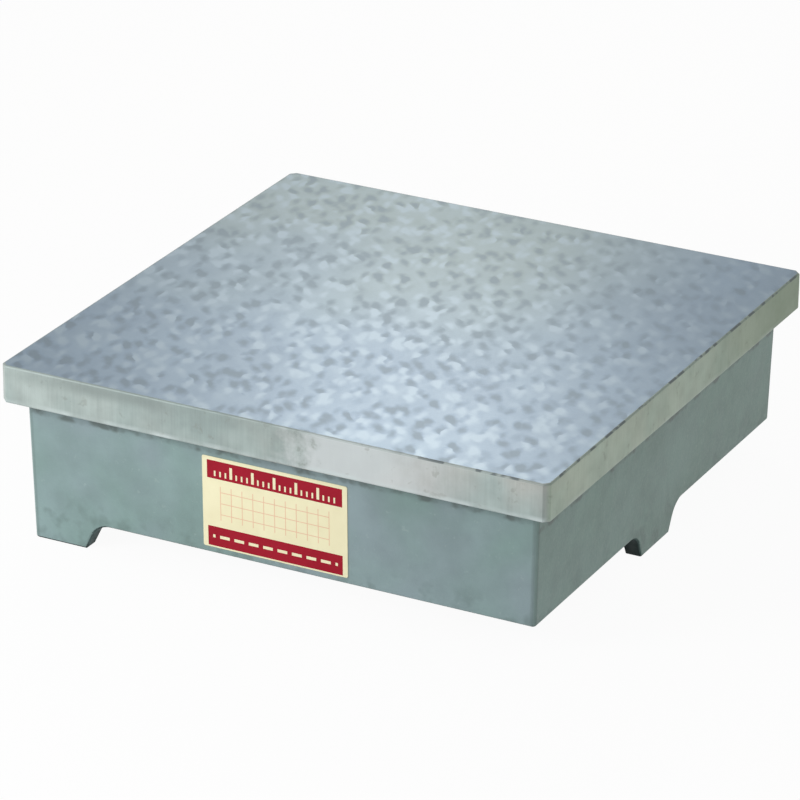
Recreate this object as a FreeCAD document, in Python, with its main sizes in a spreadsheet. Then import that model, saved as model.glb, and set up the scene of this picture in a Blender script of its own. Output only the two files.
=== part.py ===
# A small cast-iron surface plate: one box casting that stands on three feet, and its label.
# Millimetres, +Z up. The origin is the middle of the footprint, on the surface it stands on.
# The front, with the label, faces -Y. The single middle foot is on the +X side.

import FreeCAD, Part
import os

import Sketcher

# Driving dimensions, in millimetres, or degrees for the drafts. The wall and the lip are measured
# where the skirt meets the table.
DIMENSIONS = {
    "table_length": 300,
    "table_width": 300,
    "table_thickness": 20,
    "table_corner_chamfer": 3,
    "table_edge_chamfer": 1,
    "lip_overhang": 9.5,
    "skirt_depth": 61.5,
    "skirt_wall": 12,
    "skirt_draft": 1.3,
    "skirt_corner_radius": 2,
    "skirt_lip_radius": 2.5,
    "skirt_edge_radius": 1.5,
    "hollow_draft": 1,
    "hollow_corner_radius": 10,
    "rib_thickness": 9,
    "rib_depth": 40,
    "rib_draft": 1.5,
    "rib_crossing_radius": 8,
    "rib_edge_radius": 2,
    "root_radius": 4,
    "foot_height": 14.5,
    "foot_slope_run": 7,
    "foot_shoulder_radius": 12,
    "corner_foot_length": 31,
    "middle_foot_length": 32,
    "label_length": 80,
    "label_height": 49,
    "label_thickness": 0.3,
    "label_corner_radius": 1,
    "label_above_skirt_edge": 3.6,
    "label_left_of_middle": 1.3,
}

# Heights and half sizes that follow from the driving dimensions
TABLE_UNDERSIDE = "(Dimensions.foot_height + Dimensions.skirt_depth)"
TABLE_TOP = f"({TABLE_UNDERSIDE} + Dimensions.table_thickness)"
TABLE_HALF_LENGTH = "(Dimensions.table_length / 2)"
TABLE_HALF_WIDTH = "(Dimensions.table_width / 2)"
SKIRT_HALF_LENGTH = f"({TABLE_HALF_LENGTH} - Dimensions.lip_overhang)"
SKIRT_HALF_WIDTH = f"({TABLE_HALF_WIDTH} - Dimensions.lip_overhang)"
HOLLOW_HALF_LENGTH = f"({SKIRT_HALF_LENGTH} - Dimensions.skirt_wall)"
HOLLOW_HALF_WIDTH = f"({SKIRT_HALF_WIDTH} - Dimensions.skirt_wall)"
RIB_FOOT = f"({TABLE_UNDERSIDE} - Dimensions.rib_depth)"
RIB_ROOT_HALF = "(Dimensions.rib_thickness / 2)"
RIB_FOOT_HALF = f"({RIB_ROOT_HALF} - Dimensions.rib_depth * tan(Dimensions.rib_draft))"
LEFT_FOOT_END = f"({SKIRT_HALF_LENGTH} - Dimensions.corner_foot_length)"
CORNER_FOOT_SIDE = f"({SKIRT_HALF_WIDTH} - Dimensions.corner_foot_length)"
MIDDLE_FOOT_SIDE = "(Dimensions.middle_foot_length / 2)"

# How near two places are to count as the same one
SAME = 0.01


def make_sheet(doc):
    """The spreadsheet of driving dimensions, one named cell each."""
    sheet = doc.addObject("Spreadsheet::Sheet", "Dimensions")
    for row, (name, value) in enumerate(DIMENSIONS.items(), start=1):
        sheet.set(f"A{row}", name)
        sheet.set(f"B{row}", str(value))
        sheet.setAlias(f"B{row}", name)
    doc.recompute()
    return sheet


def origin_plane(body, role):
    """One of the body's own origin planes, by its role."""
    return next(plane for plane in body.Origin.OriginFeatures if plane.Role == role)


def add_plane_or_sketch(body, kind, name, role, height=None):
    """A sketch or datum plane on an origin plane, raised by an expression if one is given."""
    flat = body.newObject(kind, name)
    flat.AttachmentSupport = (origin_plane(body, role), "")
    flat.MapMode = "FlatFace"
    if height:
        flat.setExpression("AttachmentOffset.Base.z", height)
    return flat


def add_outline(sketch, corners):
    """A closed outline of straight lines, each corner held by two expressions."""
    points = [
        FreeCAD.Vector(sketch.evalExpression(across), sketch.evalExpression(up), 0)
        for across, up in corners
    ]
    first = sketch.GeometryCount
    for here, after in zip(points, points[1:] + points[:1]):
        sketch.addGeometry(Part.LineSegment(here, after), False)
    for number, (across, up) in enumerate(corners):
        line = first + number
        next_line = first + (number + 1) % len(corners)
        sketch.addConstraint(Sketcher.Constraint("Coincident", line, 2, next_line, 1))
        for kind, expression, value in (
            ("DistanceX", across, points[number].x),
            ("DistanceY", up, points[number].y),
        ):
            held = sketch.addConstraint(Sketcher.Constraint(kind, -1, 1, line, 1, value))
            sketch.setExpression(f"Constraints[{held}]", expression)


def add_rectangle(sketch, half_across, half_up):
    """A rectangle centred on the sketch's origin."""
    add_outline(
        sketch,
        [
            (f"-{half_across}", f"-{half_up}"),
            (half_across, f"-{half_up}"),
            (half_across, half_up),
            (f"-{half_across}", half_up),
        ],
    )


def add_feature(body, kind, name, **expressions):
    """A feature of the body, with its sizes bound to expressions."""
    feature = body.newObject(kind, name)
    for size, expression in expressions.items():
        feature.setExpression(size, expression)
    return feature


def add_dressing(body, kind, name, wanted, **expressions):
    """A fillet or chamfer on those edges of the body so far that the test picks."""
    body.Document.recompute()
    base = body.Tip
    edges = [
        f"Edge{number}"
        for number, edge in enumerate(base.Shape.Edges, start=1)
        if wanted(edge)
    ]
    dressing = add_feature(body, kind, name, **expressions)
    dressing.Base = (base, edges)


def add_draft(body, name, neutral, wanted, angle):
    """A casting draft, from the neutral plane down, on those faces that the test picks."""
    body.Document.recompute()
    base = body.Tip
    faces = [
        f"Face{number}"
        for number, face in enumerate(base.Shape.Faces, start=1)
        if wanted(face)
    ]
    draft = add_feature(body, "PartDesign::Draft", name, Angle=angle)
    draft.Base = (base, faces)
    draft.NeutralPlane = (neutral, [""])
    draft.Reversed = True


def is_upright(edge):
    """True for an edge that climbs, more up than across."""
    box = edge.BoundBox
    return box.ZLength > 2 * max(box.XLength, box.YLength)


def is_at(edge, height):
    """True for an edge that lies level at one height."""
    box = edge.BoundBox
    return abs(box.ZMin - height) < SAME and abs(box.ZMax - height) < SAME


def is_between(edge, low, high):
    """True for an edge that lies between two heights, or on them."""
    return edge.BoundBox.ZMin > low - SAME and edge.BoundBox.ZMax < high + SAME


def reach(shape):
    """How far an edge or face goes from the middle of the plate, along X and along Y."""
    box = shape.BoundBox
    return max(abs(box.XMin), abs(box.XMax)), max(abs(box.YMin), abs(box.YMax))


def add_table(body):
    """The square table, with its upright corners cut off."""
    sketch = add_plane_or_sketch(
        body, "Sketcher::SketchObject", "TableOutline", "XY_Plane", TABLE_UNDERSIDE
    )
    add_rectangle(sketch, TABLE_HALF_LENGTH, TABLE_HALF_WIDTH)
    table = add_feature(body, "PartDesign::Pad", "Table", Length="Dimensions.table_thickness")
    table.Profile = sketch
    add_dressing(
        body,
        "PartDesign::Chamfer",
        "TableCorners",
        is_upright,
        Size="Dimensions.table_corner_chamfer",
    )


def add_skirt(body, value):
    """The box wall round the hollow, from the table down to the ground, drafted on both sides."""
    sketch = add_plane_or_sketch(
        body, "Sketcher::SketchObject", "SkirtOutline", "XY_Plane", TABLE_UNDERSIDE
    )
    add_rectangle(sketch, SKIRT_HALF_LENGTH, SKIRT_HALF_WIDTH)
    add_rectangle(sketch, HOLLOW_HALF_LENGTH, HOLLOW_HALF_WIDTH)
    skirt = add_feature(body, "PartDesign::Pad", "Skirt", Length=TABLE_UNDERSIDE)
    skirt.Profile = sketch
    skirt.Reversed = True

    def is_wall(face, half_length, half_width):
        along, across = reach(face)
        box = face.BoundBox
        on_side = abs(along - value(half_length)) < SAME and box.XLength < SAME
        on_front = abs(across - value(half_width)) < SAME and box.YLength < SAME
        return on_side or on_front

    neutral = add_plane_or_sketch(
        body, "PartDesign::Plane", "DraftPlane", "XY_Plane", TABLE_UNDERSIDE
    )
    add_draft(
        body,
        "SkirtDraft",
        neutral,
        lambda face: is_wall(face, SKIRT_HALF_LENGTH, SKIRT_HALF_WIDTH),
        "Dimensions.skirt_draft",
    )
    add_draft(
        body,
        "HollowDraft",
        neutral,
        lambda face: is_wall(face, HOLLOW_HALF_LENGTH, HOLLOW_HALF_WIDTH),
        "Dimensions.hollow_draft",
    )
    add_skirt_corners(body, value)


def add_skirt_corners(body, value):
    """The rounded upright corners of the hollow and of the skirt."""

    def is_corner(edge, inside):
        middle_of_wall = value(SKIRT_HALF_LENGTH) - value("Dimensions.skirt_wall") / 2
        under_table = is_upright(edge) and is_between(edge, 0, value(TABLE_UNDERSIDE))
        return under_table and (reach(edge)[0] < middle_of_wall) == inside

    add_dressing(
        body,
        "PartDesign::Fillet",
        "HollowCorners",
        lambda edge: is_corner(edge, True),
        Radius="Dimensions.hollow_corner_radius",
    )
    add_dressing(
        body,
        "PartDesign::Fillet",
        "SkirtCorners",
        lambda edge: is_corner(edge, False),
        Radius="Dimensions.skirt_corner_radius",
    )


def add_rib(body, name, role, half_length):
    """A rib under the table, its section drawn across it and padded both ways into the walls."""
    sketch = add_plane_or_sketch(body, "Sketcher::SketchObject", f"{name}Section", role)
    add_outline(
        sketch,
        [
            (f"-{RIB_ROOT_HALF}", TABLE_UNDERSIDE),
            (RIB_ROOT_HALF, TABLE_UNDERSIDE),
            (RIB_FOOT_HALF, RIB_FOOT),
            (f"-{RIB_FOOT_HALF}", RIB_FOOT),
        ],
    )
    rib = add_feature(
        body,
        "PartDesign::Pad",
        name,
        Length=f"2 * {half_length} + Dimensions.skirt_wall",
    )
    rib.Profile = sketch
    rib.SideType = "Symmetric"


def add_ribs(body, value):
    """Two crossed ribs from wall to wall, rounded where they meet and along their lower edges."""
    add_rib(body, "LengthRib", "YZ_Plane", HOLLOW_HALF_LENGTH)
    add_rib(body, "WidthRib", "XZ_Plane", HOLLOW_HALF_WIDTH)
    rib_thickness = value("Dimensions.rib_thickness")
    add_dressing(
        body,
        "PartDesign::Fillet",
        "RibCrossing",
        lambda edge: is_upright(edge) and max(reach(edge)) < rib_thickness,
        Radius="Dimensions.rib_crossing_radius",
    )
    add_dressing(
        body,
        "PartDesign::Fillet",
        "RibEdges",
        lambda edge: is_at(edge, value(RIB_FOOT)) and edge.Length > rib_thickness,
        Radius="Dimensions.rib_edge_radius",
    )


def add_roots(body, value):
    """The fillets where the ribs, the walls and the underside of the table run into each other."""
    rib_thickness = value("Dimensions.rib_thickness")
    crossing = rib_thickness + value("Dimensions.rib_crossing_radius")

    def is_rib_end(edge):
        along_rib = min(reach(edge)) < rib_thickness and max(reach(edge)) > crossing
        under_table = is_between(edge, value(RIB_FOOT), value(TABLE_UNDERSIDE))
        return is_upright(edge) and along_rib and under_table

    def is_cell_edge(edge):
        along, across = reach(edge)
        inside_length = along < value(HOLLOW_HALF_LENGTH) + SAME
        inside_width = across < value(HOLLOW_HALF_WIDTH) + SAME
        return inside_length and inside_width and is_at(edge, value(TABLE_UNDERSIDE))

    add_dressing(
        body,
        "PartDesign::Fillet",
        "Roots",
        lambda edge: is_rib_end(edge) or is_cell_edge(edge),
        Radius="Dimensions.root_radius",
    )


def cut_relief(body, name, role, side, outlines):
    """The lower edge cut away over the given outlines, through the walls on one or both sides."""
    sketch = add_plane_or_sketch(body, "Sketcher::SketchObject", f"{name}Profile", role)
    for corners in outlines:
        add_outline(sketch, corners)
    relief = body.newObject("PartDesign::Pocket", name)
    relief.Profile = sketch
    relief.Type = "ThroughAll"
    relief.SideType = "Symmetric" if side == "both" else "One side"
    relief.Reversed = side == "right"


def add_reliefs(body, value):
    """The reliefs that leave the skirt two corner feet on the left and one foot mid right."""
    top = "Dimensions.foot_height"
    run = "Dimensions.foot_slope_run"
    cut_relief(
        body,
        "FrontAndBackRelief",
        "XZ_Plane",
        "both",
        [
            [
                (f"-{LEFT_FOOT_END}", "0"),
                ("0", "0"),
                ("0", top),
                (f"-{LEFT_FOOT_END} + {run}", top),
            ]
        ],
    )
    cut_relief(
        body,
        "RightRelief",
        "YZ_Plane",
        "right",
        [
            [
                (f"{sign}{MIDDLE_FOOT_SIDE}", "0"),
                (f"{sign}{TABLE_HALF_WIDTH}", "0"),
                (f"{sign}{TABLE_HALF_WIDTH}", top),
                (f"{sign}({MIDDLE_FOOT_SIDE} + {run})", top),
            ]
            for sign in ("-", "")
        ],
    )
    cut_relief(
        body,
        "LeftRelief",
        "YZ_Plane",
        "left",
        [
            [
                (f"-{CORNER_FOOT_SIDE}", "0"),
                (CORNER_FOOT_SIDE, "0"),
                (f"{CORNER_FOOT_SIDE} - {run}", top),
                (f"-({CORNER_FOOT_SIDE} - {run})", top),
            ]
        ],
    )
    add_foot_shoulders(body, value)


def add_foot_shoulders(body, value):
    """The rounds where the slope of each foot runs into the lower edge of the skirt."""
    height = value("Dimensions.foot_height")
    corner_foot_side = value(CORNER_FOOT_SIDE)

    def is_shoulder(edge):
        box = edge.BoundBox
        straight_through = min(box.XLength, box.YLength) < SAME
        along, across = reach(edge)
        level_there = is_at(edge, height) and edge.Length < 2 * value("Dimensions.skirt_wall")
        return straight_through and level_there and min(along, across) < corner_foot_side + SAME

    add_dressing(
        body,
        "PartDesign::Fillet",
        "FootShoulders",
        is_shoulder,
        Radius="Dimensions.foot_shoulder_radius",
    )


def add_outer_edges(body, value):
    """The broken edges of the machined table, and the rounded edges of the cast skirt."""
    corner = value("Dimensions.table_corner_chamfer")

    def is_table_edge(edge):
        along, across = reach(edge)
        beyond_skirt = (
            along > value(TABLE_HALF_LENGTH) - corner - SAME
            or across > value(TABLE_HALF_WIDTH) - corner - SAME
        )
        level = is_at(edge, value(TABLE_TOP)) or is_at(edge, value(TABLE_UNDERSIDE))
        return level and beyond_skirt

    def is_lip_edge(edge):
        along, across = reach(edge)
        inside = along < value(SKIRT_HALF_LENGTH) + SAME and across < value(SKIRT_HALF_WIDTH) + SAME
        outside = along > value(SKIRT_HALF_LENGTH) - SAME or across > value(SKIRT_HALF_WIDTH) - SAME
        return inside and outside and is_at(edge, value(TABLE_UNDERSIDE))

    def is_lower_edge(edge):
        half_wall = value("Dimensions.skirt_wall") / 2
        near_outside = all(
            abs(vertex.X) > value(SKIRT_HALF_LENGTH) - half_wall
            or abs(vertex.Y) > value(SKIRT_HALF_WIDTH) - half_wall
            for vertex in edge.Vertexes
        )
        return near_outside and is_between(edge, 0, value("Dimensions.foot_height"))

    add_dressing(
        body,
        "PartDesign::Chamfer",
        "TableEdges",
        is_table_edge,
        Size="Dimensions.table_edge_chamfer",
    )
    add_dressing(
        body,
        "PartDesign::Fillet",
        "LipRound",
        is_lip_edge,
        Radius="Dimensions.skirt_lip_radius",
    )
    add_dressing(
        body,
        "PartDesign::Fillet",
        "SkirtEdge",
        is_lower_edge,
        Radius="Dimensions.skirt_edge_radius",
    )


def make_casting(doc, value):
    """The whole casting: table, skirt, ribs and feet."""
    body = doc.addObject("PartDesign::Body", "plate_casting")
    add_table(body)
    add_skirt(body, value)
    add_ribs(body, value)
    add_roots(body, value)
    add_reliefs(body, value)
    add_outer_edges(body, value)
    return body


def make_label(doc):
    """The printed film on the front wall, lying flat on the wall's draft."""
    body = doc.addObject("PartDesign::Body", "label")
    sketch = add_plane_or_sketch(body, "Sketcher::SketchObject", "LabelOutline", "XZ_Plane")
    add_rectangle(sketch, "(Dimensions.label_length / 2)", "(Dimensions.label_height / 2)")
    film = add_feature(body, "PartDesign::Pad", "Film", Length="Dimensions.label_thickness")
    film.Profile = sketch
    add_dressing(
        body,
        "PartDesign::Fillet",
        "LabelCorners",
        lambda edge: edge.BoundBox.YLength > SAME,
        Radius="Dimensions.label_corner_radius",
    )
    draft = "Dimensions.skirt_draft"
    middle = f"(Dimensions.label_above_skirt_edge + Dimensions.label_height / 2 * cos({draft}))"
    body.Placement.Rotation.Axis = FreeCAD.Vector(1, 0, 0)
    body.setExpression("Placement.Rotation.Angle", draft)
    body.setExpression("Placement.Base.x", "-Dimensions.label_left_of_middle")
    body.setExpression(
        "Placement.Base.y",
        f"(Dimensions.skirt_depth - {middle}) * tan({draft}) - {SKIRT_HALF_WIDTH}",
    )
    body.setExpression("Placement.Base.z", f"Dimensions.foot_height + {middle}")
    return body


def main():
    """Builds the pieces, checks them and writes one STEP file for each."""
    doc = FreeCAD.newDocument("surface_plate")
    sheet = make_sheet(doc)

    def value(expression):
        return float(sheet.evalExpression(expression))

    bodies = [make_casting(doc, value), make_label(doc)]
    doc.recompute()
    for thing in doc.Objects:
        if "Invalid" in thing.State or "Error" in thing.State:
            raise RuntimeError(f"{thing.Name} failed: {thing.State}")
    for body in bodies:
        if body.Shape.isNull() or not body.Shape.isValid():
            raise RuntimeError(f"{body.Label} has no valid shape")
    os.makedirs("parts", exist_ok=True)
    for body in bodies:
        body.Shape.exportStep(f"parts/{body.Label}.step")
        print(body.Label, round(body.Shape.Volume, 1), "mm3,", len(body.Shape.Faces), "faces")


main()
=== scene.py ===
import math

import bmesh
import bpy
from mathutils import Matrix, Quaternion, Vector


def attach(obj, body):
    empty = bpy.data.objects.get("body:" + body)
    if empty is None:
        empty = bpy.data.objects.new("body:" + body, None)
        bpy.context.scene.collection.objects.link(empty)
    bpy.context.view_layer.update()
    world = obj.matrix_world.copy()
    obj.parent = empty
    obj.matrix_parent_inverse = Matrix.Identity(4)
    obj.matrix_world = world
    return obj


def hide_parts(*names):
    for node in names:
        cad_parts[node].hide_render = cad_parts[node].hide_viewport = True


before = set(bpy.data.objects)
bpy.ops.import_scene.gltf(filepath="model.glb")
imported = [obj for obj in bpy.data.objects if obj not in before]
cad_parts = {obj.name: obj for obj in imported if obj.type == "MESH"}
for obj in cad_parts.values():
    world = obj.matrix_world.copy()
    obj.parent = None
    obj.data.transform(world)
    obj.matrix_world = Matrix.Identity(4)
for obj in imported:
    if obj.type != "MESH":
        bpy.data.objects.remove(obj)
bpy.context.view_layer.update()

# The casting's own sizes, in metres, as the solid has them
TABLE_HALF = 0.150
TABLE_TOP = 0.096
TABLE_UNDERSIDE = 0.076
CORNER_CHAMFER = 0.003
EDGE_BREAK = 0.001
SKIRT_HALF = 0.1405
FOOT_HALF = 0.1388
FOOT_HEIGHT = 0.0145

# How far from the middle a mask of one upright face of the rim begins, and is full
RIM_FACE_FROM = 0.1480
RIM_FACE_FULL = 0.1495

# How close counts as the same place, how level as flat, and how far down a foot's slope faces
SAME_PLACE = 1e-5
FLAT = 0.99
SLOPED_DOWN = 0.30
SHARP_EDGE = math.radians(32)

# Where the label's middle is on the front wall, and its print's lengths and heights from there
LABEL_LEFT_OF_MIDDLE = 0.0013
LABEL_MIDDLE = 0.0426
BAND_HALF_LENGTH = 0.0373
UPPER_BAND = (0.0129, 0.0226)
LOWER_BAND = (-0.0237, -0.0131)
SHORT_MARKS = (0.0143, 0.0172)
LONG_MARKS = (0.0143, 0.0205)
DASHED_LINE = (-0.0192, -0.0176)
ROW_HALF_LENGTH = 0.0346
PANEL_HALF_LENGTH = 0.0302
PANEL_HALF_HEIGHT = 0.0092

# Where the photograph was taken from, and with what lens
VIEW_AZIMUTH = math.radians(27.291)
VIEW_ELEVATION = math.radians(23.788)
VIEW_ROLL = math.radians(0.425)
VIEW_DISTANCE = 2.4343
VIEW_TARGET = Vector((-0.00507, -0.00104, 0.0494))
VIEW_LENS = 215.55
SENSOR_WIDTH = 36.0

# The studio
FLOOR_HALF = 8.0
FLOOR_WHITE_SHARE = 0.95
SURROUNDING_LIGHT = 0.42
WHITE = (1.0, 1.0, 1.0)


# Node helpers


def add_node(tree, kind, inputs=None, **settings):
    """A shader node with its settings, and its inputs linked or set."""
    made = tree.nodes.new("ShaderNode" + kind)
    for name, value in settings.items():
        setattr(made, name, value)
    for name, value in (inputs or {}).items():
        give(tree, made.inputs[name], value)
    return made


def give(tree, socket, value):
    """A socket linked to another socket, or set to a plain value."""
    if isinstance(value, bpy.types.NodeSocket):
        tree.links.new(value, socket)
    else:
        socket.default_value = value


def calculate(tree, operation, *values, clamp=False):
    """The result of one Math node."""
    made = add_node(tree, "Math", dict(enumerate(values)), operation=operation, use_clamp=clamp)
    return made.outputs[0]


def multiply(tree, first, *others):
    """Several values or masks multiplied together."""
    product = first
    for other in others:
        product = calculate(tree, "MULTIPLY", product, other)
    return product


def move_vector(tree, operation, *values, output=0):
    """The result of one Vector Math node."""
    made = add_node(tree, "VectorMath", dict(enumerate(values)), operation=operation)
    return made.outputs[output]


def split(tree, vector):
    """The three parts of a vector."""
    return add_node(tree, "SeparateXYZ", {0: vector}).outputs


def face_direction(tree):
    """The three parts of the direction that the surface faces."""
    return split(tree, add_node(tree, "NewGeometry").outputs["Normal"])


def spread(tree, value, low, high, to_low=0.0, to_high=1.0, smooth=False):
    """A value stretched from one range to another, and held inside it."""
    made = add_node(
        tree,
        "MapRange",
        {"Value": value, 1: low, 2: high, 3: to_low, 4: to_high},
        interpolation_type="SMOOTHSTEP" if smooth else "LINEAR",
    )
    return made.outputs[0]


def mix_colour(tree, factor, first, second, blend="MIX"):
    """Two colours mixed by a mask."""
    made = add_node(tree, "Mix", data_type="RGBA", blend_type=blend)
    for index, value in ((0, factor), (6, first), (7, second)):
        give(tree, made.inputs[index], value)
    return made.outputs[2]


def noise(tree, place, scale, detail=2.0, roughness=0.5):
    """A soft random value from 0 to 1."""
    made = add_node(
        tree,
        "TexNoise",
        {"Vector": place, "Scale": scale, "Detail": detail, "Roughness": roughness},
    )
    return made.outputs[0]


def start_group(name, inputs, outputs):
    """A shader node group with named sockets, and its input and output nodes."""
    group = bpy.data.node_groups.new(name, "ShaderNodeTree")
    for socket, kind, value in inputs:
        made = group.interface.new_socket(name=socket, in_out="INPUT", socket_type=kind)
        if value is not None:
            made.default_value = value
    for socket, kind in outputs:
        group.interface.new_socket(name=socket, in_out="OUTPUT", socket_type=kind)
    entry = group.nodes.new("NodeGroupInput")
    result = group.nodes.new("NodeGroupOutput")
    return group, entry.outputs, result.inputs


def use_group(tree, group, **inputs):
    """One use of a node group, with its inputs given by name."""
    made = tree.nodes.new("ShaderNodeGroup")
    made.node_tree = group
    for name, value in inputs.items():
        give(tree, made.inputs[name.replace("_", " ")], value)
    return made.outputs


def start_material(name):
    """A material with its Principled shader, and the place on the object."""
    material = bpy.data.materials.new(name)
    material.use_nodes = True
    tree = material.node_tree
    shader = tree.nodes["Principled BSDF"]
    place = add_node(tree, "TexCoord").outputs["Object"]
    return material, tree, shader, place


def add_relief(tree, shader, height, distance):
    """Fine relief from a height, on the shader's normal."""
    bump = add_node(tree, "Bump", {"Height": height, "Distance": distance, "Strength": 1.0})
    tree.links.new(bump.outputs[0], shader.inputs["Normal"])


# Effects that more than one finish or layer uses


def make_clouding():
    """Slow uneven shading, in patches of two sizes."""
    group, given, result = start_group(
        "clouding",
        [
            ("Place", "NodeSocketVector", None),
            ("Patches per metre", "NodeSocketFloat", 12.0),
            ("Dark", "NodeSocketFloat", 0.9),
            ("Light", "NodeSocketFloat", 1.1),
        ],
        [("Shade", "NodeSocketFloat")],
    )
    finer = 4.3
    broad_share = 0.6
    broad = noise(group, given["Place"], given["Patches per metre"], detail=1.0)
    fine_scale = multiply(group, given["Patches per metre"], finer)
    fine = noise(group, given["Place"], fine_scale, detail=3.0)
    both = calculate(
        group,
        "ADD",
        multiply(group, broad, broad_share),
        multiply(group, fine, 1.0 - broad_share),
    )
    shade = spread(group, both, 0.3, 0.7, given["Dark"], given["Light"], smooth=True)
    group.links.new(shade, result["Shade"])
    return group


def make_flakes():
    """One layer of scraper flakes: separate soft ovals, each darker or brighter than the ground."""
    group, given, result = start_group(
        "scraper_flakes",
        [
            ("Place", "NodeSocketVector", None),
            ("Flakes per metre", "NodeSocketFloat", 150.0),
            ("Turn", "NodeSocketFloat", 0.0),
            ("Narrowness", "NodeSocketFloat", 0.6),
            ("Raggedness", "NodeSocketFloat", 0.002),
        ],
        [
            ("Height", "NodeSocketFloat"),
            ("Tone", "NodeSocketFloat"),
        ],
    )
    turned = add_node(
        group,
        "VectorRotate",
        {"Vector": given["Place"], "Angle": given["Turn"]},
        rotation_type="Z_AXIS",
    ).outputs[0]
    uneven = add_node(group, "TexNoise", {"Vector": turned, "Scale": 160.0, "Detail": 1.0})
    offset = move_vector(group, "SUBTRACT", uneven.outputs["Color"], (0.5, 0.5, 0.5))
    ragged = add_node(
        group, "VectorMath", {0: offset, "Scale": given["Raggedness"]}, operation="SCALE"
    ).outputs[0]
    stretch = add_node(group, "CombineXYZ", {0: 1.0, 1: given["Narrowness"], 2: 0.0}).outputs[0]
    flat = move_vector(group, "MULTIPLY", move_vector(group, "ADD", turned, ragged), stretch)
    cells = add_node(
        group,
        "TexVoronoi",
        {
            "Vector": flat,
            "Scale": given["Flakes per metre"],
            "Smoothness": 0.5,
            "Randomness": 1.0,
        },
        voronoi_dimensions="2D",
        feature="SMOOTH_F1",
    )
    own = add_node(group, "SeparateColor", {0: cells.outputs["Color"]}).outputs
    middle = spread(group, cells.outputs["Distance"], 0.04, 0.52, 1.0, 0.0, smooth=True)
    lean = spread(group, own[1], 0.30, 0.70, -2.5, 1.7)
    lot = spread(group, own[0], 0.15, 0.85, 0.10, 0.40)
    tone = calculate(group, "ADD", multiply(group, middle, lean), lot)
    group.links.new(tone, result["Tone"])
    group.links.new(calculate(group, "SUBTRACT", 1.0, middle), result["Height"])
    return group


def make_edge_wear_and_highlight():
    """A ragged mask along the outer edges, where hands and cloths rub, used also for a painted edge
    highlight.
    """
    group, given, result = start_group(
        "edge_wear_and_highlight",
        [
            ("Place", "NodeSocketVector", None),
            ("Width", "NodeSocketFloat", 0.0015),
        ],
        [("Wear", "NodeSocketFloat")],
    )
    rounded = add_node(group, "Bevel", {"Radius": given["Width"]}, samples=6).outputs[0]
    true_normal = add_node(group, "NewGeometry").outputs["Normal"]
    alike = move_vector(group, "DOT_PRODUCT", rounded, true_normal, output="Value")
    edge = spread(group, alike, 0.985, 0.90)
    ragged = spread(group, noise(group, given["Place"], 220.0, detail=3.0), 0.40, 0.62)
    group.links.new(multiply(group, edge, ragged), result["Wear"])
    return group


# Finishes


def make_scraped_iron(clouding, flakes):
    """The bare scraped face: two layers of soft flakes, some dull and dark, some bright with a
    painted glint.
    """
    bare_metal = (0.137, 0.193, 0.248, 1.0)
    oily_metal = (0.154, 0.202, 0.212, 1.0)
    dull_flake = (0.098, 0.137, 0.165, 1.0)
    bright_flake_and_glint = (0.206, 0.268, 0.312, 1.0)
    flake_share = 0.72
    full_tone = 1.8
    narrowness = 0.46
    raggedness = 0.004
    scraping_depth = 0.00001

    material, tree, shader, place = start_material("scraped_iron")
    across, along = split(tree, place)[:2]

    # Two passes of the scraper, at an angle to each other
    first = use_group(
        tree,
        flakes,
        Place=place,
        Flakes_per_metre=134.0,
        Turn=-0.75,
        Narrowness=narrowness,
        Raggedness=raggedness,
    )
    second = use_group(
        tree,
        flakes,
        Place=place,
        Flakes_per_metre=152.0,
        Turn=-0.15,
        Narrowness=narrowness,
        Raggedness=raggedness,
    )
    height = calculate(tree, "ADD", first["Height"], multiply(tree, second["Height"], 0.6))
    tone = calculate(tree, "ADD", first["Tone"], multiply(tree, second["Tone"], 0.8))

    # The flakes' contrast fades toward the back right corner, away from the highlight, as painted
    # light
    toward_back_right = calculate(tree, "ADD", across, multiply(tree, along, 0.5))
    tone = multiply(tree, tone, spread(tree, toward_back_right, 0.02, 0.15, 1.0, 0.6))

    # Bare metal with slow shading, fine grain and a thin oil film at the back and left
    clouds = use_group(tree, clouding, Place=place, Patches_per_metre=9.0, Dark=0.95, Light=1.05)
    grain = noise(tree, place, 700.0, detail=2.0, roughness=0.6)
    shade = multiply(tree, clouds["Shade"], spread(tree, grain, 0.3, 0.7, 0.975, 1.025))
    drift = spread(tree, noise(tree, place, 9.0), 0.3, 0.7, -0.05, 0.05)
    film = spread(tree, calculate(tree, "ADD", along, drift), -0.09, 0.11, smooth=True)
    film = multiply(tree, film, spread(tree, across, 0.12, 0.02))
    tint = mix_colour(tree, film, bare_metal, oily_metal)
    base = mix_colour(tree, 1.0, tint, shade, "MULTIPLY")

    # Dull flakes are darker, older metal; bright flakes are fresh cuts, paler also as a painted
    # glint
    dark = spread(tree, tone, 0.0, -full_tone, 0.0, flake_share)
    bright = spread(tree, tone, 0.0, full_tone, 0.0, flake_share)
    dulled = mix_colour(tree, dark, base, dull_flake)
    colour = mix_colour(tree, bright, dulled, bright_flake_and_glint)

    tree.links.new(colour, shader.inputs["Base Color"])
    tree.links.new(spread(tree, tone, -1.2, 1.2, 0.42, 0.38), shader.inputs["Roughness"])
    shader.inputs["Metallic"].default_value = 0.8
    add_relief(tree, shader, height, scraping_depth)
    return material


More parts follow.
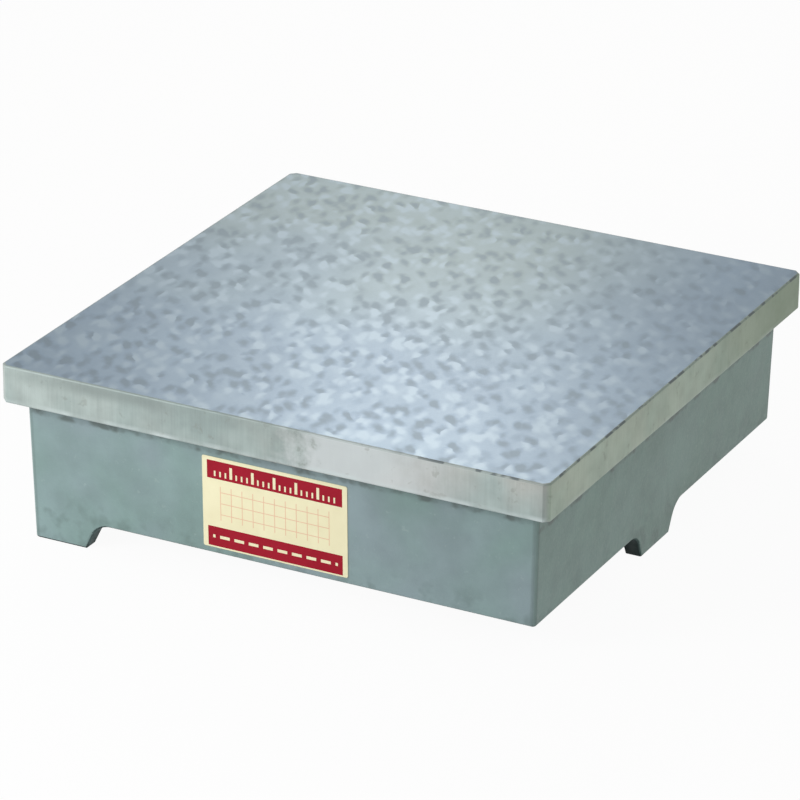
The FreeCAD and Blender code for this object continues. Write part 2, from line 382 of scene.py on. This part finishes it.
def make_ground_iron(clouding):
    """The machined rim: upright cutter marks, a painted sheen on the front, a painted light tint and
    shade on the right side, a darker top band, painted shade on the edge break, nicked edges and a
    painted highlight on the lower edge.
    """
    cool_metal = (0.360, 0.432, 0.418, 1.0)
    warm_metal = (0.408, 0.425, 0.402, 1.0)
    front_left_metal = (0.340, 0.424, 0.408, 1.0)
    right_painted_light_tint = (0.340, 0.442, 0.325, 1.0)
    front_painted_sheen = (0.60, 0.635, 0.645, 1.0)
    right_side_painted_shade = (0.190, 0.245, 0.170, 1.0)
    rust_spot = (0.20, 0.21, 0.18, 1.0)
    darker_top_band_and_edge_shade = (0.20, 0.24, 0.23, 1.0)
    nicked_metal = (0.10, 0.12, 0.125, 1.0)
    lower_edge_painted_highlight = (0.54, 0.61, 0.61, 1.0)
    cutter_marks_per_metre = (900.0, 900.0, 30.0)
    cutter_mark_depth = 0.00003

    material, tree, shader, place = start_material("ground_iron")
    across, along, level = split(tree, place)
    front = spread(tree, along, -RIM_FACE_FROM, -RIM_FACE_FULL)
    right = spread(tree, across, RIM_FACE_FROM, RIM_FACE_FULL)
    spots = noise(tree, place, 150.0, detail=3.0, roughness=0.6)
    wander = calculate(tree, "ADD", across, spread(tree, spots, 0.3, 0.7, -0.008, 0.008))

    # The bare metal: a little cooler at the front left, and a painted light tint, a little yellower,
    # on the right
    warmth = spread(tree, noise(tree, place, 24.0), 0.40, 0.60)
    metal = mix_colour(tree, warmth, cool_metal, warm_metal)
    cooled = multiply(tree, front, spread(tree, wander, 0.030, 0.0, 0.0, 0.65))
    metal = mix_colour(tree, cooled, metal, front_left_metal)
    metal = mix_colour(tree, multiply(tree, right, 0.45), metal, right_painted_light_tint)

    # Slow shading, upright cutter marks and a dull stretch on the front
    clouds = use_group(tree, clouding, Place=place, Patches_per_metre=26.0, Dark=0.82, Light=1.12)
    marks_place = move_vector(tree, "MULTIPLY", place, cutter_marks_per_metre)
    marks = noise(tree, marks_place, 1.0, detail=3.0, roughness=0.6)
    mark_shade = spread(tree, marks, 0.25, 0.75, 0.92, 1.06)
    dull = multiply(
        tree,
        front,
        spread(tree, wander, -0.120, -0.060, smooth=True),
        spread(tree, wander, 0.120, 0.090),
    )
    dull_shade = spread(tree, dull, 0.0, 1.0, 1.0, 0.92)
    shade = multiply(tree, clouds["Shade"], mark_shade, dull_shade)
    base = mix_colour(tree, 1.0, metal, shade, "MULTIPLY")

    # A stretch of the front with a painted sheen
    begun = spread(tree, wander, 0.004, 0.030, 0.0, 0.72, smooth=True)
    ended = spread(tree, wander, 0.122, 0.058, smooth=True)
    sheened = mix_colour(tree, multiply(tree, front, begun, ended), base, front_painted_sheen)
    # Painted shade with a yellow-green tint over the right side, strongest at its far end
    right_shade_share = multiply(tree, right, spread(tree, along, 0.02, 0.12, 0.16, 0.90))
    right_shaded = mix_colour(tree, right_shade_share, sheened, right_side_painted_shade)
    spot = spread(tree, spots, 0.30, 0.40, 1.0, 0.0, smooth=True)
    spotted = mix_colour(tree, multiply(tree, spot, 0.35), right_shaded, rust_spot)

    # The upper edge: a darker band along the top at the left, painted shade on the edge break, and
    # nicked at the right
    broken = spread(tree, level, TABLE_TOP - 1.1 * EDGE_BREAK, TABLE_TOP - 0.7 * EDGE_BREAK)
    near_top = (TABLE_TOP - 0.0095, TABLE_TOP - 0.0030)
    darker_top_band = multiply(
        tree,
        spread(tree, level, *near_top, 0.0, 0.55, smooth=True),
        spread(tree, wander, -0.040, -0.070, 0.25, 1.0),
        spread(tree, wander, 0.035, 0.015),
        spread(tree, wander, -0.15, -0.10, 0.50, 1.30),
    )
    dulled_share = calculate(tree, "MAXIMUM", darker_top_band, multiply(tree, broken, 0.6))
    dulled = mix_colour(tree, dulled_share, spotted, darker_top_band_and_edge_shade)
    nicks = spread(tree, noise(tree, place, 130.0, detail=1.0), 0.50, 0.56, 0.0, 0.9)
    nicks = multiply(tree, nicks, spread(tree, across, 0.065, 0.090))
    nicked = mix_colour(tree, multiply(tree, broken, nicks), dulled, nicked_metal)

    # The lower edge, with a painted highlight in places, more so on the front
    lower = spread(tree, level, TABLE_UNDERSIDE + 0.0032, TABLE_UNDERSIDE + 0.0012)
    highlight_bits = spread(tree, noise(tree, place, 70.0, detail=1.0), 0.42, 0.62, 0.15, 0.80)
    lower = multiply(tree, lower, highlight_bits, spread(tree, front, 0.0, 1.0, 0.25, 1.0))
    colour = mix_colour(tree, lower, nicked, lower_edge_painted_highlight)

    tree.links.new(colour, shader.inputs["Base Color"])
    rough = spread(tree, spots, 0.3, 0.7, 0.50, 0.40)
    rough = calculate(tree, "ADD", rough, multiply(tree, broken, 0.15))
    tree.links.new(rough, shader.inputs["Roughness"])
    shader.inputs["Metallic"].default_value = 0.4
    add_relief(tree, shader, marks, cutter_mark_depth)
    return material


def make_machine_enamel(clouding, edge_wear_and_highlight):
    """Grey-green enamel over the cast skin, with smudges, thin spots, and painted shade, shadow and
    highlight on the right wall, under the lip and down the corners.
    """
    green_paint = (0.198, 0.296, 0.284, 1.0)
    blue_paint = (0.214, 0.285, 0.304, 1.0)
    right_wall_painted_shade = (0.172, 0.268, 0.232, 1.0)
    near_end_painted_shade = (0.080, 0.150, 0.140, 1.0)
    thin_paint = (0.36, 0.44, 0.43, 1.0)
    lip_painted_shadow = (0.085, 0.115, 0.11, 1.0)
    smudge = (0.095, 0.145, 0.135, 1.0)
    corner_painted_shade = (0.115, 0.165, 0.160, 1.0)
    corner_painted_highlight = (0.235, 0.330, 0.318, 1.0)
    lip_shadow_heights = (0.0678, 0.0700)
    lip_shadow_drop_on_sides = 0.0045
    cast_skin_depth = 0.00012

    material, tree, shader, place = start_material("machine_enamel")
    across, along, level = split(tree, place)
    facing = face_direction(tree)
    from_side = calculate(tree, "ABSOLUTE", facing[0])
    across_size = calculate(tree, "ABSOLUTE", across)
    along_size = calculate(tree, "ABSOLUTE", along)

    # The paint, with painted shade on the right wall, a little greener and darker there, and darker
    # still at that wall's near end
    hue = spread(tree, noise(tree, place, 16.0), 0.40, 0.60)
    paint = mix_colour(tree, hue, green_paint, blue_paint)
    right_wall = spread(tree, facing[0], 0.6, 0.9, 0.0, 0.65)
    paint = mix_colour(tree, right_wall, paint, right_wall_painted_shade)
    near = multiply(tree, right_wall, spread(tree, along, 0.0, -0.13, 0.0, 0.25))
    paint = mix_colour(tree, near, paint, near_end_painted_shade)
    clouds = use_group(tree, clouding, Place=place, Patches_per_metre=18.0, Dark=0.86, Light=1.10)
    base = mix_colour(tree, 1.0, paint, clouds["Shade"], "MULTIPLY")
    specks = noise(tree, place, 260.0, detail=2.0, roughness=0.7)
    speck = spread(tree, specks, 0.66, 0.74, smooth=True)
    specked = mix_colour(tree, multiply(tree, speck, 0.18), base, thin_paint)

    # A painted shadow in a thin ragged line under the lip, on the outer walls alone
    patches = noise(tree, place, 110.0, detail=2.0)
    wavy = calculate(tree, "ADD", level, spread(tree, patches, 0.3, 0.7, -0.0008, 0.0008))
    wavy = calculate(tree, "ADD", wavy, multiply(tree, from_side, lip_shadow_drop_on_sides))
    farthest = calculate(tree, "MAXIMUM", across_size, along_size)
    lip_shadow = multiply(
        tree,
        spread(tree, wavy, *lip_shadow_heights, smooth=True),
        spread(tree, patches, 0.42, 0.60, 0.15, 0.9),
        spread(tree, farthest, FOOT_HALF - 0.0020, FOOT_HALF - 0.0005),
        spread(tree, calculate(tree, "ABSOLUTE", facing[2]), 0.9, 0.6),
    )
    lip_shadowed = mix_colour(tree, lip_shadow, specked, lip_painted_shadow)

    # Smudges low on the walls
    smudges = spread(tree, noise(tree, place, 95.0, detail=2.0), 0.52, 0.66, 0.0, 0.45)
    low = spread(tree, level, 0.034, 0.014, smooth=True)
    smudged = mix_colour(tree, multiply(tree, smudges, low), lip_shadowed, smudge)

    # A painted shade line and a painted highlight crest down each upright corner, which the walls'
    # draft leans inward
    reach = calculate(tree, "ADD", across_size, along_size)
    sharp_corner = spread(tree, level, 0.0, TABLE_UNDERSIDE, 2 * FOOT_HALF, 2 * SKIRT_HALF)
    short_of_corner = calculate(tree, "SUBTRACT", sharp_corner, reach)
    line = spread(tree, short_of_corner, 0.0032, 0.0022, 0.0, 0.45, smooth=True)
    lined = mix_colour(tree, line, smudged, corner_painted_shade)
    crest = spread(tree, short_of_corner, 0.0016, 0.0012, 0.0, 0.6, smooth=True)
    crested = mix_colour(tree, crest, lined, corner_painted_highlight)
    # Paler, thinner paint on the outer edges, rubbed and also a painted highlight
    worn = use_group(tree, edge_wear_and_highlight, Place=place, Width=0.0016)
    colour = mix_colour(tree, multiply(tree, worn["Wear"], 0.5), crested, thin_paint)

    tree.links.new(colour, shader.inputs["Base Color"])
    sand = noise(tree, place, 700.0, detail=3.0, roughness=0.6)
    swell = noise(tree, place, 120.0, detail=2.0)
    tree.links.new(spread(tree, sand, 0.3, 0.7, 0.50, 0.38), shader.inputs["Roughness"])
    height = calculate(tree, "ADD", sand, multiply(tree, swell, 2.5))
    add_relief(tree, shader, height, cast_skin_depth)
    return material


def make_foot_edge():
    """The wall's undersides and the feet's sloped ends, darkened in patches as painted shade, but
    less so where they face right.
    """
    black_painted_shade = (0.012, 0.026, 0.025, 1.0)
    grey_painted_shade = (0.040, 0.060, 0.058, 1.0)
    lighter_paint = (0.130, 0.190, 0.186, 1.0)
    patch_relief_depth = 0.00008

    material, tree, shader, place = start_material("shaded_foot_edge")
    shade_patches = noise(tree, place, 180.0, detail=3.0)
    shaded = mix_colour(tree, shade_patches, black_painted_shade, grey_painted_shade)
    lighter_share = spread(tree, shade_patches, 0.35, 0.65, 0.95, 0.55)
    lighter = spread(tree, face_direction(tree)[0], 0.2, 0.5, 0.0, lighter_share)
    colour = mix_colour(tree, lighter, shaded, lighter_paint)
    tree.links.new(colour, shader.inputs["Base Color"])
    tree.links.new(spread(tree, shade_patches, 0.3, 0.7, 0.75, 0.60), shader.inputs["Roughness"])
    shader.inputs["Specular IOR Level"].default_value = 0.10
    add_relief(tree, shader, shade_patches, patch_relief_depth)
    return material


def make_label_print():
    """The film's print: two red bands with plain marks, and a faintly squared cream panel."""
    aged_paper = (0.76, 0.70, 0.46, 1.0)
    clean_paper = (0.86, 0.82, 0.57, 1.0)
    square_ink = (0.72, 0.36, 0.24, 1.0)
    bright_red = (0.36, 0.010, 0.028, 1.0)
    deep_red = (0.28, 0.006, 0.018, 1.0)
    paper_grain_depth = 0.00003

    material, tree, shader, place = start_material("label_print")
    parts = split(tree, place)
    along = calculate(tree, "ADD", parts[0], LABEL_LEFT_OF_MIDDLE)
    up = calculate(tree, "SUBTRACT", parts[2], LABEL_MIDDLE)

    def between(value, low, high):
        above = calculate(tree, "GREATER_THAN", value, low)
        return multiply(tree, above, calculate(tree, "LESS_THAN", value, high))

    def within(value, half):
        return between(value, -half, half)

    def lines(value, pitch, width):
        nearest = calculate(tree, "PINGPONG", value, pitch / 2)
        return calculate(tree, "LESS_THAN", nearest, width / 2)

    def either(first, second):
        return calculate(tree, "MAXIMUM", first, second)

    def outside(mask):
        return calculate(tree, "SUBTRACT", 1.0, mask)

    # A rule of short and long marks in the upper band, a dashed line in the lower one
    row = within(along, ROW_HALF_LENGTH)
    short_marks = multiply(tree, lines(along, 0.0030, 0.0009), between(up, *SHORT_MARKS))
    long_marks = multiply(tree, lines(along, 0.0120, 0.0015), between(up, *LONG_MARKS))
    rule = multiply(tree, either(short_marks, long_marks), row)
    dashes = outside(lines(along, 0.0080, 0.0026))
    dashed_line = multiply(tree, dashes, between(up, *DASHED_LINE), row)
    bands = either(between(up, *UPPER_BAND), between(up, *LOWER_BAND))
    bands = multiply(tree, bands, within(along, BAND_HALF_LENGTH))
    red_area = multiply(tree, bands, outside(either(rule, dashed_line)))

    # Faint squares on the panel
    squares = either(lines(along, 0.0060, 0.0004), lines(up, 0.0060, 0.0004))
    panel = multiply(tree, within(along, PANEL_HALF_LENGTH), within(up, PANEL_HALF_HEIGHT))
    fade = noise(tree, place, 90.0, detail=3.0)
    paper = mix_colour(tree, fade, aged_paper, clean_paper)
    squared = mix_colour(tree, multiply(tree, squares, panel, 0.70), paper, square_ink)
    red = mix_colour(tree, fade, bright_red, deep_red)

    tree.links.new(mix_colour(tree, red_area, squared, red), shader.inputs["Base Color"])
    tree.links.new(spread(tree, fade, 0.3, 0.7, 0.40, 0.52), shader.inputs["Roughness"])
    shader.inputs["Specular IOR Level"].default_value = 0.12
    add_relief(tree, shader, fade, paper_grain_depth)
    return material


# Pieces


def finish_piece(mesh, name, finishes, node):
    """A modelled piece, linked, finished and fixed to the frame."""
    data = bpy.data.meshes.new(name)
    mesh.to_mesh(data)
    mesh.free()
    for material in finishes:
        data.materials.append(material)
    data.shade_smooth()
    data.set_sharp_from_angle(angle=SHARP_EDGE)
    piece = bpy.data.objects.new(name, data)
    bpy.context.scene.collection.objects.link(piece)
    weighted = piece.modifiers.new("flat faces stay flat", "WEIGHTED_NORMAL")
    weighted.keep_sharp = True
    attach(piece, "root")
    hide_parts(node)


def bevel_edges(mesh, edges, offset, segments):
    """Edges cut back by an offset, in one flat or several small ones."""
    bmesh.ops.bevel(
        mesh,
        geom=edges,
        offset=offset,
        segments=segments,
        profile=0.5,
        affect="EDGES",
        material=-1,
    )


def make_table(scraped, ground, enamel):
    """The machined head of the casting: its scraped face, its rim and its painted underside."""
    mesh = bmesh.new()
    bmesh.ops.create_cube(mesh, size=1.0)
    size = Vector((2 * TABLE_HALF, 2 * TABLE_HALF, TABLE_TOP - TABLE_UNDERSIDE))
    bmesh.ops.scale(mesh, vec=size, verts=mesh.verts)
    middle = Vector((0, 0, (TABLE_TOP + TABLE_UNDERSIDE) / 2))
    bmesh.ops.translate(mesh, vec=middle, verts=mesh.verts)
    upright = [e for e in mesh.edges if abs(e.verts[0].co.z - e.verts[1].co.z) > SAME_PLACE]
    bevel_edges(mesh, upright, CORNER_CHAMFER, 1)
    level = [e for e in mesh.edges if abs(e.verts[0].co.z - e.verts[1].co.z) < SAME_PLACE]
    bevel_edges(mesh, level, EDGE_BREAK, 3)
    for face in mesh.faces:
        if face.normal.z > FLAT:
            face.material_index = 0
        elif face.normal.z < -FLAT:
            face.material_index = 2
        else:
            face.material_index = 1
    finish_piece(
        mesh,
        "scraped_table",
        [scraped, ground, enamel],
        "plate_casting",
    )


def make_skirt(enamel, ground, foot_edge):
    """The cast skirt, ribs and feet below the table, closed where the table sits."""
    mesh = bmesh.new()
    mesh.from_mesh(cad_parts["plate_casting"].data)
    bmesh.ops.remove_doubles(mesh, verts=mesh.verts, dist=SAME_PLACE / 10)
    above = [
        f for f in mesh.faces
        if min(v.co.z for v in f.verts) > TABLE_UNDERSIDE - SAME_PLACE
    ]
    bmesh.ops.delete(mesh, geom=above, context="FACES")
    rim = [e for e in mesh.edges if e.is_boundary]
    bmesh.ops.triangle_fill(mesh, edges=rim, use_beauty=True, normal=(0, 0, 1))
    bmesh.ops.recalc_face_normals(mesh, faces=mesh.faces)
    wall_edge = FOOT_HEIGHT + 0.0005
    # Foot bottoms take ground metal; the slopes that face down near the floor take the painted shade
    for face in mesh.faces:
        middle = face.calc_center_median()
        if face.normal.z < -FLAT and middle.z < SAME_PLACE:
            face.material_index = 1
        elif face.normal.z < -SLOPED_DOWN and middle.z < wall_edge:
            face.material_index = 2
        else:
            face.material_index = 0
    finish_piece(
        mesh,
        "painted_skirt",
        [enamel, ground, foot_edge],
        "plate_casting",
    )


# Studio


def seen_directly(tree):
    """A mask that is 1 for the camera and for what metal or glass shows of the surroundings."""
    path = add_node(tree, "LightPath")
    seen = calculate(tree, "ADD", path.outputs["Is Camera Ray"], path.outputs["Is Glossy Ray"])
    return calculate(tree, "ADD", seen, path.outputs["Is Transmission Ray"], clamp=True)


def make_floor():
    """A wide pale floor that shows white to the camera and keeps the shadow."""
    mesh = bmesh.new()
    bmesh.ops.create_grid(mesh, x_segments=1, y_segments=1, size=FLOOR_HALF)
    data = bpy.data.meshes.new("studio_floor")
    mesh.to_mesh(data)
    mesh.free()
    floor = bpy.data.objects.new("studio_floor", data)
    bpy.context.scene.collection.objects.link(floor)
    material = bpy.data.materials.new("studio_floor")
    material.use_nodes = True
    tree = material.node_tree
    shader = tree.nodes["Principled BSDF"]
    shader.inputs["Base Color"].default_value = (0.8, 0.8, 0.8, 1.0)
    shader.inputs["Roughness"].default_value = 0.9
    white = add_node(tree, "Emission", {"Color": (*WHITE, 1.0), "Strength": 1.0})
    share = multiply(tree, seen_directly(tree), FLOOR_WHITE_SHARE)
    mixed = add_node(tree, "MixShader", {0: share, 1: shader.outputs[0], 2: white.outputs[0]})
    tree.links.new(mixed.outputs[0], tree.nodes["Material Output"].inputs["Surface"])
    data.materials.append(material)


def make_world():
    """Even pale surroundings, white to the camera and in reflections."""
    world = bpy.data.worlds.new("studio")
    bpy.context.scene.world = world
    world.use_nodes = True
    tree = world.node_tree
    strength = spread(tree, seen_directly(tree), 0.0, 1.0, SURROUNDING_LIGHT, 1.0)
    tree.links.new(strength, tree.nodes["Background"].inputs["Strength"])
    tree.nodes["Background"].inputs["Color"].default_value = (*WHITE, 1.0)


def add_softbox(name, place, target, size, power, colour=WHITE):
    """A square softbox that faces a point."""
    lamp = bpy.data.lights.new(name, "AREA")
    lamp.shape = "SQUARE"
    lamp.size = size
    lamp.energy = power
    lamp.color = colour
    box = bpy.data.objects.new(name, lamp)
    box.location = place
    aim = Vector(target) - Vector(place)
    box.rotation_euler = aim.to_track_quat("-Z", "Y").to_euler()
    box.visible_camera = False
    bpy.context.scene.collection.objects.link(box)


def make_lamps():
    """A soft key at the front left, a fill at the right and a lamp over the table's back."""
    add_softbox(
        "key_softbox",
        place=(-0.5, -0.75, 0.42),
        target=(-0.03, 0, 0.05),
        size=0.4,
        power=6.0,
    )
    add_softbox(
        "fill_softbox",
        place=(0.95, 0.12, 0.4),
        target=(0.15, 0, 0.05),
        size=0.45,
        power=0.84,
        colour=(0.82, 1.0, 0.76),
    )
    add_softbox(
        "table_softbox",
        place=(-0.43, 0.82, 0.73),
        target=(0.05, -0.13, 0.096),
        size=0.22,
        power=1.9,
        colour=(1.0, 0.93, 0.87),
    )


def make_camera():
    """The photograph's view."""
    back = Vector(
        (
            math.sin(VIEW_AZIMUTH) * math.cos(VIEW_ELEVATION),
            -math.cos(VIEW_AZIMUTH) * math.cos(VIEW_ELEVATION),
            math.sin(VIEW_ELEVATION),
        )
    )
    lens = bpy.data.cameras.new("camera")
    lens.lens = VIEW_LENS
    lens.sensor_width = SENSOR_WIDTH
    camera = bpy.data.objects.new("camera", lens)
    camera.location = VIEW_TARGET + back * VIEW_DISTANCE
    level = back.to_track_quat("Z", "Y")
    roll = Quaternion((0, 0, 1), VIEW_ROLL)
    camera.rotation_euler = (level @ roll).to_euler()
    bpy.context.scene.collection.objects.link(camera)
    bpy.context.scene.camera = camera


def main():
    """The studio, the finishes, and the pieces that wear them."""
    bpy.context.scene.view_settings.view_transform = "Standard"
    make_camera()
    make_floor()
    make_world()
    make_lamps()
    clouding = make_clouding()
    scraped = make_scraped_iron(clouding, make_flakes())
    ground = make_ground_iron(clouding)
    enamel = make_machine_enamel(clouding, make_edge_wear_and_highlight())
    make_table(scraped, ground, enamel)
    make_skirt(enamel, ground, make_foot_edge())
    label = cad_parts["label"]
    label.material_slots[0].material = make_label_print()


main()
